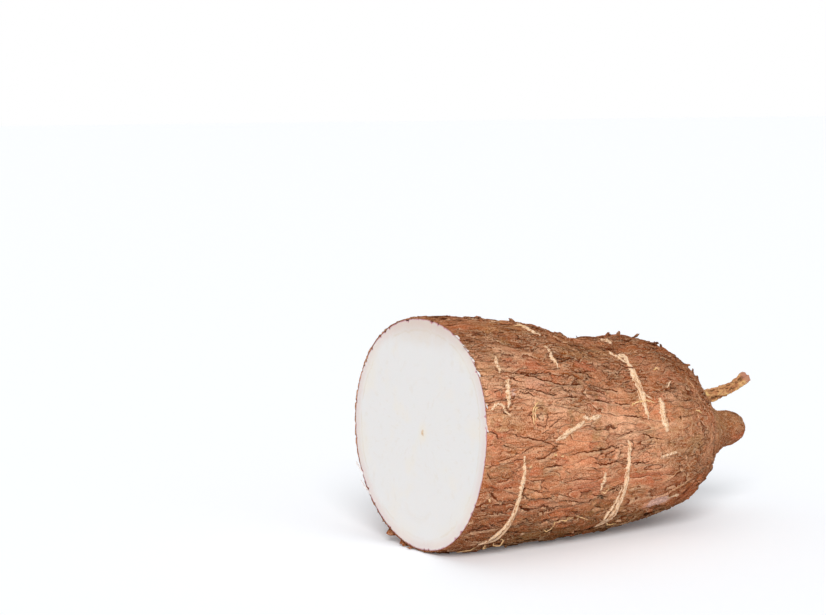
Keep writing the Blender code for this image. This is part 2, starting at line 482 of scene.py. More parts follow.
# Places where the outer bark is worn: millimetres from the cut and degrees round, half the length and half
# the width in millimetres, and how much. Above zero the red underbark shows, below zero the pale one.
BARE_PLACES = (
    (22.5, 139.5, 3.2, 1.7, 1), (12.5, 138.5, 2.8, 1.6, 0.6), (45, 138, 5.2, 1.8, 0.9),
    (29, -170, 2.6, 1.3, 0.9), (19, -166, 3.2, 1.8, 0.6), (40.5, -154, 7.5, 3.4, 0.85),
    (24, -148, 4.5, 2.4, 0.7), (7.5, -161, 5.5, 2, 0.6), (5.5, -135.5, 4.6, 1.4, 1),
    (15.5, -143.5, 3.4, 1.7, 0.7), (57, -156, 6, 2.6, 0.5), (68, -153, 5.5, 3.2, 0.55),
    (4.7, 155.5, 3, 1.8, 0.6), (4, 174, 5.5, 5, 0.45), (74, 129, 3.4, 2.2, 0.7), (45, 112, 4, 1.6, 0.6),
    (20, 150, 5, 2.3, -0.5), (10.9, 155.5, 1.9, 2.4, -0.75), (76.5, -135.5, 6, 2.9, -1.15),
    (48, 160, 8, 2.2, -0.35), (36, 157, 6, 2, -0.35), (16, 15, 6, 3, 0.7), (38, 28, 5, 2, 0.9),
    (58, -20, 8, 3, 0.6), (75, 10, 4, 2.5, 0.7), (26, -55, 6, 2.5, 0.7), (70, 60, 4, 2, 0.7),
    (50, -80, 9, 5, 0.6), (30, 75, 4, 1.6, 0.8), (125.5, -125, 3.5, 1.6, 0.55),
)
# Places where grey-olive dust and dead bark lie, given in the same way.
DUSTY_PLACES = (
    (35, -173, 5.5, 1.8, 0.8), (44, -174, 3.5, 1.6, 0.7), (6, -166, 5, 3, 0.9), (83, -165, 9, 7, 0.7),
    (30, -124, 34, 3.5, 0.8), (75, -128, 22, 3.5, 0.8), (42, 177, 2, 2, 0.8), (20, 163, 3, 2.4, 0.6),
    (30, 104, 14, 3, 0.6), (70, 100, 12, 3, 0.6), (60, 5, 9, 5, 0.6), (25, 50, 10, 3, 0.6),
    (85, 30, 8, 6, 0.6), (40, -95, 30, 6, 0.6), (127, 160, 3, 1.2, 0.8), (118, -120, 4, 3, 0.9),
    (121, 125, 6, 2, 0.9), (119, -170, 3, 1, 0.6), (116, 40, 6, 2, 0.8), (122, -155, 6, 1.3, 0.9),
    (124, 170, 5, 0.8, 0.7),
)
# Places where the cracks stay closed, given in the same way.
CALM_PLACES = (
    (76, -177, 11, 5, 0.75), (55, -179, 6, 3, 0.5), (78, -135, 7, 2.5, 0.8), (40.5, -154, 7.5, 3.4, 0.5),
    (20, 150, 5, 2.3, 0.6), (48, 161, 9, 3, 0.4),
)
# Long splits between plates: half the width that each opens to in millimetres, then the places that it runs
# through. The plate on the side of the greater angle stands up along it.
LONG_SPLITS = (
    (0.22, (12.3, 145), (15.9, 145), (20.3, 145), (25.5, 144)), (0.28, (7.7, 146), (10.9, 147), (14.8, 150)),
    (0.24, (15.5, 146), (20, 147), (28.8, 150), (36, 151), (43.5, 149)),
    (0.26, (15, 152), (20, 154), (30, 157), (40.6, 159), (56, 161), (61.4, 162), (63.7, 167)),
    (0.2, (12.4, 155), (15.6, 155), (18.8, 157)), (0.2, (7.8, 174), (13.2, 176), (21.5, 179), (25.8, 182)),
    (0.14, (22, 174), (26, 170), (29.6, 167)), (0.16, (32.8, 162), (38.2, 164)),
    (0.28, (51.5, 135), (54, 137), (58, 139), (60.5, 141)), (0.2, (36.7, 142), (40.5, 143), (48.7, 140)),
    (0.22, (39.7, 151), (52.9, 152), (56.7, 153)), (0.18, (39.7, 154), (46.4, 154), (50.3, 156)),
    (0.18, (1, -170), (3.2, -171), (6.3, -173), (11.7, -176)),
    (0.16, (1, -168), (2.1, -165), (5.6, -162), (8.8, -163), (12.1, -167)),
    (0.22, (18.5, -173), (21, -172), (24.9, -175), (28, -176)),
    (0.2, (32, -173), (38, -174), (46, -174), (53.6, -176)), (0.22, (23, -168), (26.6, -168), (30.2, -167)),
    (0.14, (32, -158), (35.8, -159), (40.5, -159), (45.1, -158)),
    (0.18, (31.3, -149), (37.3, -147), (42.6, -145)),
    (0.16, (16.3, -158), (19.7, -156), (24.2, -154), (28, -153)),
    (0.35, (16, -148), (19.2, -145), (21.3, -145)), (0.4, (25.5, -141), (26.8, -142), (28.1, -142)),
    (0.26, (31.2, -134), (34.1, -134), (37.8, -136), (43.1, -134)),
    (0.28, (1, -132), (4, -133), (9.7, -134), (12, -135)), (0.26, (17.1, -130), (21.7, -129), (26, -127)),
    (0.22, (44, -133), (50, -135), (57, -137)), (0.18, (56.6, 168), (60.3, 169), (64.5, 170)),
    (0.16, (49.8, 173), (51.5, 177), (55.6, 179), (58.9, 178), (61.2, 176)),
    (0.2, (57.1, 183), (61, 182), (63.6, 180), (67, 182), (71.7, 184)),
    (0.24, (42.1, -168), (46.9, -166), (51, -166), (53.3, -167)),
    (0.18, (59.2, -163), (62.3, -164), (66.1, -164)), (0.28, (20, 8), (34, 12), (46, 7)),
    (0.28, (50, 40), (62, 36), (72, 41)), (0.26, (10, -30), (24, -34), (33, -30)),
    (0.26, (14, 50), (26, 54), (40, 49), (52, 52)), (0.24, (40, -10), (54, -14), (66, -9)),
    (0.26, (30, -62), (44, -66), (60, -60)), (0.24, (6, 98), (20, 101), (34, 97)),
    (0.24, (46, 104), (58, 107), (70, 103)),
)
SPLIT_DEPTH = 0.55
SPLIT_LIFT = 0.3
# Knots left by thin roots that the bark has closed over, ringed by its folds: millimetres from the cut,
# degrees round, radius and height in millimetres.
KNOTS = (
    (20, 167, 2.2, 1.1), (86, -168, 1.8, 0.5), (36, 40, 2.6, 0.9), (64, -30, 2.4, 0.8), (80, 22, 2, 0.7),
    (14, -64, 2.2, 0.7), (49, 100, 2, 0.6),
)


def smooth_line(knots, count):
    """A smooth curve through rows of numbers, at evenly spaced steps of their order."""
    knots = np.array(knots, float)
    ends = np.concatenate([2 * knots[:1] - knots[1:2], knots, 2 * knots[-1:] - knots[-2:-1]])
    places = np.linspace(0, len(knots) - 1, count)
    cell = np.minimum(places.astype(int), len(knots) - 2)
    t = (places - cell)[:, None]
    before, start, end, after = (ends[cell + i] for i in range(4))
    return 0.5 * (2 * start + (end - before) * t + (2 * before - 5 * start + 4 * end - after) * t**2
                  + (3 * start - before - 3 * end + after) * t**3)


FAR = 9.0                       # stands for a distance at which splits and knots no longer show


def apart(places, spot):
    """How far the points are from a spot on the bark, in millimetres: along the root and round it."""
    turned = (places[..., 1] - spot[1] + 180) % 360 - 180
    return places[..., 0] - spot[0], np.radians(turned) * places[..., 2]


def worn_amount(places, spots):
    """How worn the bark is at points given by distance, degrees and radius, from -1 to 1."""
    total = np.zeros(places.shape[:-1])
    for distance, degrees, half_length, half_width, amount in spots:
        along, across = apart(places, (distance, degrees))
        away = np.hypot(along / half_length, across / half_width)
        total += amount * np.clip(1.5 - away, 0, 1)
    return total


def split_lines(places, splits, rng):
    """For each point, how far it is across the nearest split, less than zero on one side of it, and half the
    width that the split is open there, both in millimetres. The splits shake, and thin to their ends."""
    mean_radius = GIRTH / (2 * math.pi)
    nearest = np.full(places.shape[:-1], FAR)
    across_split = np.zeros_like(nearest)
    opened = np.zeros_like(nearest)
    for half_width, *path in splits:
        knots = smooth_line(path, 5 * len(path))
        for i in range(len(knots) - 1):
            knots[i + 1] += (rng.uniform(-0.2, 0.2), rng.uniform(-0.4, 0.4))
            along, across = apart(places, knots[i])
            step = np.array([knots[i + 1, 0] - knots[i, 0],
                             math.radians(knots[i + 1, 1] - knots[i, 1]) * mean_radius])
            share = np.clip((along * step[0] + across * step[1]) / (step @ step), 0, 1)
            off = np.hypot(along - share * step[0], across - share * step[1])
            side = np.where(step[0] * across < step[1] * along, -1, 1)
            narrowing = math.sin(math.pi * (i + 0.5) / (len(knots) - 1)) ** 0.5
            closer = off < nearest
            across_split = np.where(closer, side * off, across_split)
            opened = np.where(closer, half_width * narrowing, opened)
            nearest = np.minimum(nearest, off)
    return across_split, opened * np.clip(2.2 - nearest, 0, 1)


def knot_rings(places, knots):
    """The knots' height in millimetres, and how far each point is from the nearest one, in its radii."""
    height = np.zeros(places.shape[:-1])
    nearest = np.full(places.shape[:-1], FAR)
    for distance, degrees, radius, rise in knots:
        along, across = apart(places, (distance, degrees))
        way = np.arctan2(across, along)
        lobes = 1 + 0.14 * np.sin(3 * way + distance) + 0.1 * np.sin(5 * way)
        away = np.hypot(0.8 * along, across) / radius * lobes
        rings = np.cos(2 * math.pi * away * KNOT_RINGS)
        hump = 0.55 * np.exp(-(away / 0.8) ** 2) + 0.22 * rings
        height += rise * np.clip(KNOT_REACH - away, 0, 1) * hump
        nearest = np.minimum(nearest, away)
    return height, nearest


def along_side_up(points):
    """The points' millimetres from the middle of the cut: along the root, to its +Y side and up."""
    return (points - CENTRE_ROW) @ np.array([ALONG, SIDE, UP]).T / MM


# Behind the rim of the cut the skin turns in and closes over the middle, hidden by the flesh.
middle = skin[0].mean(axis=0)
inwards = middle - skin[0]
lip_ring = skin[0] + inwards * (BARK_THICKNESS / np.linalg.norm(inwards, axis=1))[:, None]
hidden_ring = lip_ring + CUT_RECESS * ALONG_ROW
hidden_pole = np.repeat((middle + CUT_RECESS * ALONG_ROW)[None], BARK_COLUMNS, axis=0)
whole = np.concatenate([[hidden_pole, hidden_ring, lip_ring], skin])
whole = np.concatenate([whole, whole[:, :1]], axis=1)
HIDDEN_ROWS = 3

bark = grid_piece("bark", whole)
place = along_side_up(whole)
change = np.clip((row_travel / MM - GRAIN_CHANGE[0]) / (GRAIN_CHANGE[1] - GRAIN_CHANGE[0]), 0, 1)
rates = GRAIN_LENGTH + (TAIL_GRAIN_LENGTH - GRAIN_LENGTH) * change
grain = place.copy()
grain[HIDDEN_ROWS:, :, 0] = (np.cumsum(rates) * row_travel[1] / MM)[:, None]
around = np.zeros_like(place)
turns = np.append(angles, 0)
around[..., 0] = np.cos(turns)
around[..., 1] = np.sin(turns)
shown = np.zeros_like(place)
shown[HIDDEN_ROWS:-1] = 1
shown[HIDDEN_ROWS:, :, 0] *= np.interp(row_travel / MM, RIM_LIES_FLAT[0], RIM_LIES_FLAT[1])[:, None]
places = np.stack([place[..., 0], np.degrees(np.arctan2(place[..., 2], place[..., 1])),
                   np.hypot(place[..., 1], place[..., 2])], axis=-1)
around[..., 2] = np.interp(place[..., 0], CRACKS_CLOSE[0], CRACKS_CLOSE[1])
around[..., 2] *= 1 - np.clip(worn_amount(places, CALM_PLACES), 0, 1)
knot_height, from_knot = knot_rings(places, KNOTS)
across_split, opened = split_lines(places, LONG_SPLITS, random.Random(3))
worn = np.stack([worn_amount(places, BARE_PLACES), worn_amount(places, DUSTY_PLACES), from_knot], axis=-1)
marks = np.stack([across_split, opened, np.zeros_like(opened)], axis=-1)
share_open = np.clip(opened / 0.25, 0, 1)
trench = share_open * np.clip(1.3 - abs(across_split) / 0.6, 0, 1)
lifted = share_open * np.exp(-(((across_split - 1) / 0.5) ** 2))
shown[..., 1] = knot_height - SPLIT_DEPTH * trench + SPLIT_LIFT * lifted
write_vectors(bark, place=place, grain=grain, around=around, worn=worn, marks=marks, shown=shown)
bark.data.materials.append(bark_material("bark"))
sealed(bark)

relief = worked_out(bark, "relief", ("place", "grain", "around"), bark_relief)
shown = worked_out(bark, "shown_here", ("shown",), lambda here: here.part("X"))
relief += worked_out(bark, "marks_here", ("shown",), lambda here: here.part("Y"))
bark.data.attributes.remove(bark.data.attributes["shown"])
swell(bark, relief * shown)
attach(bark, "root")
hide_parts("cassava_root")


# --- The cut flesh --------------------------------------------------------------------------------
# The starchy white flesh, sawn square across, with a pinkish rind layer under the bark, a faint line
# where the two part, and the dry, yellow thread of the pith in the middle.

FLESH_RINGS = 90
RIND_WIDTH = 3.4                # in millimetres, like the deepest nick that the saw tore in the rim
NICK_DEPTH = 0.9
NICK_RARITY = 14                # the greater it is, the fewer nicks are deep
DISC_SHARE = 0.9                # of the bark's lip and recess, so that the disc meets the bark without a gap
FLESH = tint(220, 217, 215)
WARM_FLESH = tint(225, 216, 202)
RIND = tint(217, 203, 198)
RIND_LINE = tint(208, 194, 176)
# Painted shadow for the top of the cut face.
TOP_SHADOW_TONE = tint(196, 172, 154)
PITH_SHIFT = (0, -1.8, 0.2)     # the pith is off the middle of the face, in millimetres
PINK_SKIN = tint(186, 104, 128)
PITH = tint(196, 150, 92)


def flesh_material():
    """Fresh-cut starch: white and close, slightly moist, with faint rays and rings."""
    material, place, depth = new_material("flesh", "place", "depth")
    from_rim = depth.part("X")
    from_pith = depth.part("Y")
    layer = from_rim + 0.7 * (place.cloud(0.35, 2) - 0.5)
    rays = depth.stretched((0.05, 0.05, 1)).cloud(5, 2)
    mottle = place.cloud(0.12, 3)
    line = abs(layer - RIND_WIDTH).rise(0.55, 0.05) * mottle.rise(0.38, 0.6)
    # Painted shadow: the face turns darker and warmer towards its top.
    top_shadow = (place.part("Z") + 6 * (mottle - 0.5)).rise(24, 35)
    skin_edge = (from_rim + 0.9 * (place.cloud(0.5, 3) - 0.5)).rise(0.4, 0.05)
    thread = (from_pith + 1.6 * (place.cloud(0.9, 2) - 0.5)).rise(1.15, 0.25)
    colour = coated(
        (mottle.rise(0.5, 0.75) * 0.35 + from_pith.rise(4, 1) * 0.5).blend(FLESH, WARM_FLESH),
        (rays.rise(0.55, 0.75) * 0.18, RIND_LINE),
        (place.cloud(1.4, 3, 0.7).rise(0.6, 0.75) * 0.16, RIND_LINE),
        (layer.rise(RIND_WIDTH + 0.4, RIND_WIDTH - 2.4) * 0.9, RIND),
        (line * 0.45, RIND_LINE),
        (layer.rise(9, 3) * place.cloud(0.06, 1).rise(0.45, 0.65) * 0.35, WARM_FLESH),
        (top_shadow * 0.45, TOP_SHADOW_TONE),
        (skin_edge * 0.7, PINK_SKIN),
        (thread * 0.8, PITH))
    height = 0.1 * place.cloud(1.1, 3, 0.6) + 0.05 * rays
    surface = material.node_tree.nodes["Principled BSDF"]
    surface.inputs["Subsurface Weight"].default_value = 0.15
    surface.inputs["Subsurface Radius"].default_value = (0.003, 0.002, 0.0015)
    surface.inputs["Subsurface Scale"].default_value = 1
    return finished(material, colour, height, (0.35, 0.001), 0.55, 0.3)


# The disc's rings run from the middle of its face out to the rim, over it, and close behind it.
rng = random.Random(9)
nicks = [rng.uniform(0, 0.12) + NICK_DEPTH * rng.random() ** NICK_RARITY for _ in angles]
inset = DISC_SHARE * BARK_THICKNESS + np.array(nicks) * MM
rim = skin[0] + inwards * (inset / np.linalg.norm(inwards, axis=1))[:, None]
shares = np.linspace(0, 1, FLESH_RINGS) ** 0.7
face = middle + shares[:, None, None] * (rim - middle)
back = rim + DISC_SHARE * CUT_RECESS * ALONG_ROW
back_pole = np.repeat((middle + DISC_SHARE * CUT_RECESS * ALONG_ROW)[None], BARK_COLUMNS, axis=0)
disc = np.concatenate([face, [back, back_pole]])
disc = np.concatenate([disc, disc[:, :1]], axis=1)
flesh = grid_piece("cut_flesh", disc)
place = along_side_up(disc)
depth = np.zeros_like(place)
face_radii = np.linalg.norm(disc[FLESH_RINGS - 1] - middle, axis=1) / MM
depth[:FLESH_RINGS, :, 0] = (1 - shares)[:, None] * face_radii
depth[..., 1] = np.linalg.norm((place - np.array(PITH_SHIFT)) * np.array([1, 1.3, 0.8]), axis=-1)
depth[..., 2] = 3 * np.sin(np.linspace(0, 2 * math.pi, BARK_COLUMNS + 1))
write_vectors(flesh, place=place, depth=depth)
flesh.data.materials.append(flesh_material())
sealed(flesh)
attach(flesh, "root")
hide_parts("cassava_root")


# --- The side root --------------------------------------------------------------------------------
# A thin feeding root that grew out of the shoulder and dried: wrinkled yellow-brown skin, a flared
# and torn pink end. It is one with the body, so its foot runs into the bark.

# Its middle line and radius, measured from the foot of the vertical through the cut face's middle.
SIDE_ROOT_LINE = (
    (0.1010, -0.0012, 0.0350, 0.0034),
    (0.1040, -0.0010, 0.0362, 0.0029),
    (0.1105, -0.0005, 0.0384, 0.0025),
    (0.1165, 0.0000, 0.0388, 0.0021),
    (0.1225, 0.0003, 0.0397, 0.0019),
    (0.1282, 0.0003, 0.0413, 0.0016),
    (0.1318, 0.0001, 0.0430, 0.0019),
    (0.1338, 0.0000, 0.0440, 0.0020),
)
SIDE_ROOT_STEPS = 220
SIDE_ROOT_SIDES = 72
DRY_SKIN = tint(196, 144, 100)
BROWN_SKIN = tint(172, 114, 76)
YELLOW_RIDGE = tint(222, 184, 122)
WRINKLE = tint(92, 56, 30)
TORN_END = tint(176, 124, 104)
RIDGE_HEIGHT = 2.2
TIP_LENGTH = 0.35               # in millimetres: there the torn end rounds off, down to a share of its radius
TIP_SHARE = 0.35


def side_root_ridges(run):
    """Wrinkles that run along the side root and wind round it a little."""
    winding = run.shifted(run.cloud(0.5, 2, 0.5, "Color"), (1.5, 1.5, 1.5))
    return winding.stretched((0.3, 1, 1)).cloud(0.9, 3)


def side_root_material():
    """Dry skin drawn into ridges, yellow on their crests and brown between them."""
    material, run, place = new_material("side_root", "run", "place")
    ridges = side_root_ridges(run)
    crumbs = place.cloud(2.2, 3, 0.65)
    colour = coated(
        place.cloud(0.5, 3).rise(0.35, 0.65).blend(DRY_SKIN, BROWN_SKIN),
        (run.part("Z").rise(0.6, 2) * 0.6, BROWN_SKIN),
        (ridges.rise(0.54, 0.65) * 0.8, YELLOW_RIDGE),
        (ridges.rise(0.47, 0.36) * 0.85, WRINKLE),
        (crumbs.rise(0.52, 0.66) * 0.5, WRINKLE),
        (crumbs.rise(0.45, 0.32) * 0.5, YELLOW_RIDGE),
        (run.part("X").rise(31, 33) * 0.8, TORN_END))
    return finished(material, colour, 0.6 * ridges + 0.3 * crumbs, (0.7, 0.001), 0.85, 0.1)


foot = Vector((CUT_CENTRE.x, CUT_CENTRE.y, 0))
line = smooth_line(SIDE_ROOT_LINE, SIDE_ROOT_STEPS)
line[:, :3] += np.array(foot)
headings = np.gradient(line[:, :3], axis=0)
lengths = np.concatenate([[0], np.cumsum(np.linalg.norm(np.diff(line[:, :3], axis=0), axis=1))]) / MM
side_angles = np.linspace(0, 2 * math.pi, SIDE_ROOT_SIDES + 1)
tube = np.zeros((SIDE_ROOT_STEPS, SIDE_ROOT_SIDES + 1, 3))
run = np.zeros_like(tube)
for i, ((*centre, radius), heading) in enumerate(zip(line.tolist(), headings.tolist())):
    over = SIDE.cross(Vector(heading)).normalized()
    across = over.cross(Vector(heading)).normalized()
    rounding = TIP_SHARE + math.sqrt((lengths[-1] - lengths[i]) / TIP_LENGTH) * (1 - TIP_SHARE)
    radius *= min(1, rounding) if i < SIDE_ROOT_STEPS - 1 else 0
    for j, angle in enumerate(side_angles.tolist()):
        turned = math.cos(angle) * across + math.sin(angle) * over
        tube[i, j] = Vector(centre) + radius * turned
        run[i, j] = (lengths[i], 2 * math.cos(angle), 2 * math.sin(angle))
tube[0] = tube[0].mean(axis=0)
side_root = grid_piece("side_root", tube)
write_vectors(side_root, run=run, place=(tube - CENTRE_ROW) / MM)
side_root.data.materials.append(side_root_material())
sealed(side_root)
wrinkles = worked_out(side_root, "wrinkles", ("run",), side_root_ridges)
ends = worked_out(side_root, "ends", ("run",), lambda place: place.part("X").rise(0, 1))
swell(side_root, (wrinkles - 0.5) * RIDGE_HEIGHT * ends)
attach(side_root, "root")
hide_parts("cassava_root")


# --- The corky scars ------------------------------------------------------------------------------
# Beige cork that heals the bark where a fine root fell off or the skin was torn: fibrous strips that
# lie across the root and stand a little proud, with a few thin threads of it among the plates.

# Each strip's half width and height in millimetres, and how many strands it frays into; then where it runs on
# the bark: millimetres from the cut, degrees round from the +Y side over the top.
SCARS = (
    (0.42, 0.4, 1, (8, 136), (8, 140), (7.8, 145)),
    (0.62, 0.4, 1, (9.6, 146), (9.3, 151), (8.7, 156), (7.8, 162)),
    (0.6, 0.4, 1, (31.5, 126), (31.6, 133), (32.2, 142)),
    (0.92, 0.45, 1, (66.4, 122), (66.8, 128), (66.2, 138), (65.4, 150), (65.6, 161), (66.1, 172)),
    (0.38, 0.45, 1, (65.8, 130), (66.9, 140), (66.6, 150), (67.2, 158)),
    (1.05, 0.35, 1, (65.6, 122), (66.4, 128), (66.2, 135)),
    (0.3, 0.4, 1, (61.5, 114), (63, 122), (65.5, 131), (67, 137)),
    (0.25, 0.35, 1, (66, 150), (67.5, 156), (69.5, 159)), (1, 0.45, 1, (72.8, 158), (72.4, 169), (73, 180)),
    (0.36, 0.35, 1, (70.3, -166), (74, -167), (78, -168)),
    (0.55, 0.45, 1, (14.1, -175), (14.5, -167), (14.8, -159), (14.9, -152)),
    (0.48, 0.45, 2, (14.1, -172), (14.8, -159), (14.9, -145), (14.4, -130), (10, -118)),
    (0.26, 0.5, 1, (14.6, -152), (14.2, -141), (13, -130), (9, -120)),
    (0.62, 0.45, 1, (57, -178), (57.3, -169), (57.5, -160), (57.6, -152)),
    (0.5, 0.45, 3, (57, -174), (57.6, -160), (57.8, -144), (58, -130), (56, -119)),
    (0.3, 0.5, 1, (56.2, -152), (56, -140), (55, -128)),
    (0.66, 0.5, 1, (25.9, 179), (31.3, 175), (37.8, 170)), (0.52, 0.4, 1, (37, 168), (40, 169), (45.9, 168)),
    (0.45, 0.4, 1, (47.2, -162), (47.6, -157), (47.2, -151)),
    (0.22, 0.3, 1, (79.8, 147), (78.5, 149), (77, 152)), (0.7, 0.4, 1, (33.2, 96), (32.6, 108), (33.3, 118)),
    (0.65, 0.4, 1, (69.5, 90), (68.6, 99), (67.3, 108)), (0.35, 0.4, 1, (1, 163), (5, 160), (8.6, 166)),
    (0.75, 0.3, 1, (80, -137), (82, -138), (85.5, -137)), (0.75, 0.45, 2, (12, 20), (12.5, 42), (11, 66)),
    (0.85, 0.5, 2, (30, -40), (31.5, -18), (30.5, 8)), (0.95, 0.5, 3, (47, 30), (48.5, 48), (47.5, 70)),
    (0.7, 0.45, 1, (52, -75), (53, -58), (52, -36)), (0.9, 0.5, 2, (68, -8), (69.5, 12), (68.5, 36)),
    (0.6, 0.4, 1, (80, 40), (80.5, 58), (79, 72)), (0.55, 0.4, 1, (84, -60), (85, -40), (84, -15)),
    (0.7, 0.35, 2, (22, -100), (22.6, -84), (21.5, -66)), (0.4, 0.35, 1, (88, 5), (87.5, 20), (88.6, 32)),
)
STRIP_STEPS = 60
STRIP_TOPS = 7                  # of the twelve sides of its section, those that lie on top
STRIP_SIDES = 12
STRIP_SINK = 0.5                # how far its underside is sunk in the bark, in millimetres
BRIDGED_STEPS = 3               # to either side, over which the cork bridges the bark's cracks
STRAND_STEPS = 4                # over which one of its fibres keeps its height
RAGGEDNESS = 0.35
BLUNTNESS = 0.35                # the smaller it is, the blunter the strip's ends
CORK = tint(236, 194, 150)
PALE_CORK = tint(250, 222, 192)
CORK_GAP = tint(172, 112, 72)

skin_faces = [(i * BARK_COLUMNS + j, i * BARK_COLUMNS + (j + 1) % BARK_COLUMNS,
               (i + 1) * BARK_COLUMNS + (j + 1) % BARK_COLUMNS, (i + 1) * BARK_COLUMNS + j)
              for i in range(BARK_ROWS - 2) for j in range(BARK_COLUMNS)]
skin_tree = BVHTree.FromPolygons([Vector(point) for point in skin.reshape(-1, 3).tolist()], skin_faces)
bark_tree = BVHTree.FromPolygons([v.co for v in bark.data.vertices], [p.vertices for p in bark.data.polygons])


def on_skin(distance, degrees):
    """The smooth skin at a distance in millimetres from the cut and an angle, and the way out of it."""
    direction = outwards(math.radians(degrees))
    base, way_out, _, _ = skin_tree.ray_cast(CUT_CENTRE + distance * MM * ALONG, direction)
    if way_out.dot(direction) < 0:
        way_out = -way_out
    return base, way_out


def on_bark(distance, degrees):
    """The same, on the bark's plates and cracks."""
    base, way_out = on_skin(distance, degrees)
    return onto_bark(base, way_out), way_out


def onto_bark(point, way_out):
    """The bark's surface straight in or out from a point near it."""
    hit = bark_tree.ray_cast(point - 3 * MM * way_out, way_out, 8 * MM)[0]
    return hit or point


def closed_ends(grid):
    """The grid of a tube whose last column is its first again, with its two end rings drawn into points."""
    for ring in (0, -1):
        grid[ring] = grid[ring, :-1].mean(axis=0)
    return grid


def closed_bodies(name, grids):
    """One piece of many small closed bodies, all with as many points: each a grid whose sides meet."""
    piece = grid_piece(name, grids[0])
    copies = piece.modifiers.new("copies", "ARRAY")
    copies.count = len(grids)
    copies.use_relative_offset = False
    bpy.ops.object.modifier_apply(modifier=copies.name)
    piece.data.vertices.foreach_set("co", np.array(grids, np.float32).ravel())
    return piece


def strip(path, half_width, height, rng):
    """A low ridge laid along a path on the bark, in millimetres, tapering at both ends. With it goes, for
    each point, how far along, how far across, and a number of its own."""
    knots = smooth_line(path, STRIP_STEPS)
    bases, ways_out = zip(*(on_skin(distance, degrees) for distance, degrees in knots.tolist()))
    # The cork bridges the bark's cracks, so its line is smoother than the bark under it.
    lifts = [(onto_bark(base, way_out) - base).dot(way_out) for base, way_out in zip(bases, ways_out)]
    near = [lifts[max(0, i - BRIDGED_STEPS):i + BRIDGED_STEPS + 1] for i in range(STRIP_STEPS)]
    bridged = [0.5 * max(few) + 0.5 * sum(few) / len(few) for few in near]
    centres = [base + lift * way_out for base, lift, way_out in zip(bases, bridged, ways_out)]
    phase = rng.uniform(0, 100)
    wobble = [rng.gauss(0, 1) for _ in range(STRIP_STEPS)]
    strands = [rng.uniform(0.5, 1.1) for _ in range(STRIP_TOPS)]
    grid = np.zeros((STRIP_STEPS, STRIP_SIDES + 1, 3))
    marks = np.zeros_like(grid)
    for i in range(STRIP_STEPS):
        heading = (centres[min(i + 1, STRIP_STEPS - 1)] - centres[max(i - 1, 0)]).normalized()
        way_out = ways_out[i]
        aside = way_out.cross(heading).normalized()
        share = i / (STRIP_STEPS - 1)
        taper = max(0, math.sin(math.pi * share)) ** BLUNTNESS
        ragged = 1 + RAGGEDNESS * 0.5 * (wobble[i] + wobble[i - 1])
        width = half_width * MM * taper * max(0.35, ragged)
        drift = 0.5 * half_width * MM * math.sin(phase + 9 * share) * RAGGEDNESS
        loop = []
        for j in range(STRIP_TOPS):
            if i % STRAND_STEPS == 0:
                strands[j] = rng.uniform(0.5, 1.15)
            across = 2 * j / (STRIP_TOPS - 1) - 1
            spot = centres[i] + (across * width + drift) * aside
            lift = height * strands[j] * taper * (1 - abs(across) ** 3) - 0.05
            loop.append((spot + lift * MM * way_out, across))
        below = centres[i] - STRIP_SINK * MM * way_out
        for j in range(STRIP_TOPS, STRIP_SIDES):
            across = 1 - 2 * (j - STRIP_TOPS + 1) / (STRIP_SIDES - STRIP_TOPS + 1)
            loop.append((below + (0.7 * across * width + drift) * aside, across))
        for j, (point, across) in enumerate(loop + loop[:1]):
            grid[i, j] = point
            marks[i, j] = (share * STRIP_STEPS * 0.5, across * half_width, phase)
    return closed_ends(grid), marks


def cork_material():
    """Dry cork: pale fibres along the strip, brown in the gaps between them."""
    material, marks, place = new_material("corky_scar", "marks", "place")
    fibres = marks.stretched((0.35, 2.2, 1)).cloud(1.1, 3, 0.65)
    crumbs = place.cloud(1.8, 3, 0.7)
    colour = coated(
        crumbs.rise(0.35, 0.65).blend(CORK, PALE_CORK),
        (fibres.rise(0.48, 0.38) * 0.9, CORK_GAP),
        (crumbs.rise(0.59, 0.7) * 0.6, CORK_GAP))
    return finished(material, colour, 0.5 * fibres + 0.5 * crumbs, (0.8, 0.001), 0.9, 0)


rng = random.Random(11)
bodies = []
for half_width, height, strands, *path in SCARS:
    if strands == 1:
        bodies.append(strip(path, 1.35 * half_width, 1.4 * height, rng))
        continue
    for strand in range(strands):
        aside = (strand - (strands - 1) / 2) * 1.45 * half_width
        frayed = [(distance + aside * (0.25 + 0.95 * i / (len(path) - 1)) + rng.uniform(-0.2, 0.2),
                   degrees + rng.uniform(-3, 3)) for i, (distance, degrees) in enumerate(path)]
        bodies.append(strip(frayed, half_width * 0.8, 1.4 * height, rng))
grids, marks = zip(*bodies)
scars = closed_bodies("corky_scars", grids)
write_vectors(scars, marks=np.array(marks), place=(np.array(grids) - CENTRE_ROW) / MM)
scars.data.materials.append(cork_material())
sealed(scars)
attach(scars, "root")
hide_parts("cassava_root")


# --- The loose flakes -----------------------------------------------------------------------------
# Thin plates of dead bark that have split off along a crack and curl up from the root at one edge,
# still held by the other. They are thickest along the top, at the rim of the cut and underneath.

FLAKES = 900                    # besides the standing ones
FLAKED_LENGTH = 104             # they lie within so many millimetres of the cut
RIM_ZONE = 14                   # so near to the cut they are as thick on the flanks as on the top
FAR_RIM = 5                     # and so near to it on the +Y side few are left
TAIL_START = 80                 # beyond it they are shorter
FLAKE_STEPS = 6
FLAKE_TOPS = 5
FLAKE_SIDES = 8
FLAKE_THICKNESS = 0.22
FLAKE_SPREAD = 4                # moves each flake's colours to another part of the bark's, in millimetres
BEHIND_CUT = 0.15               # how far behind the cut a point that would hide the flesh is moved

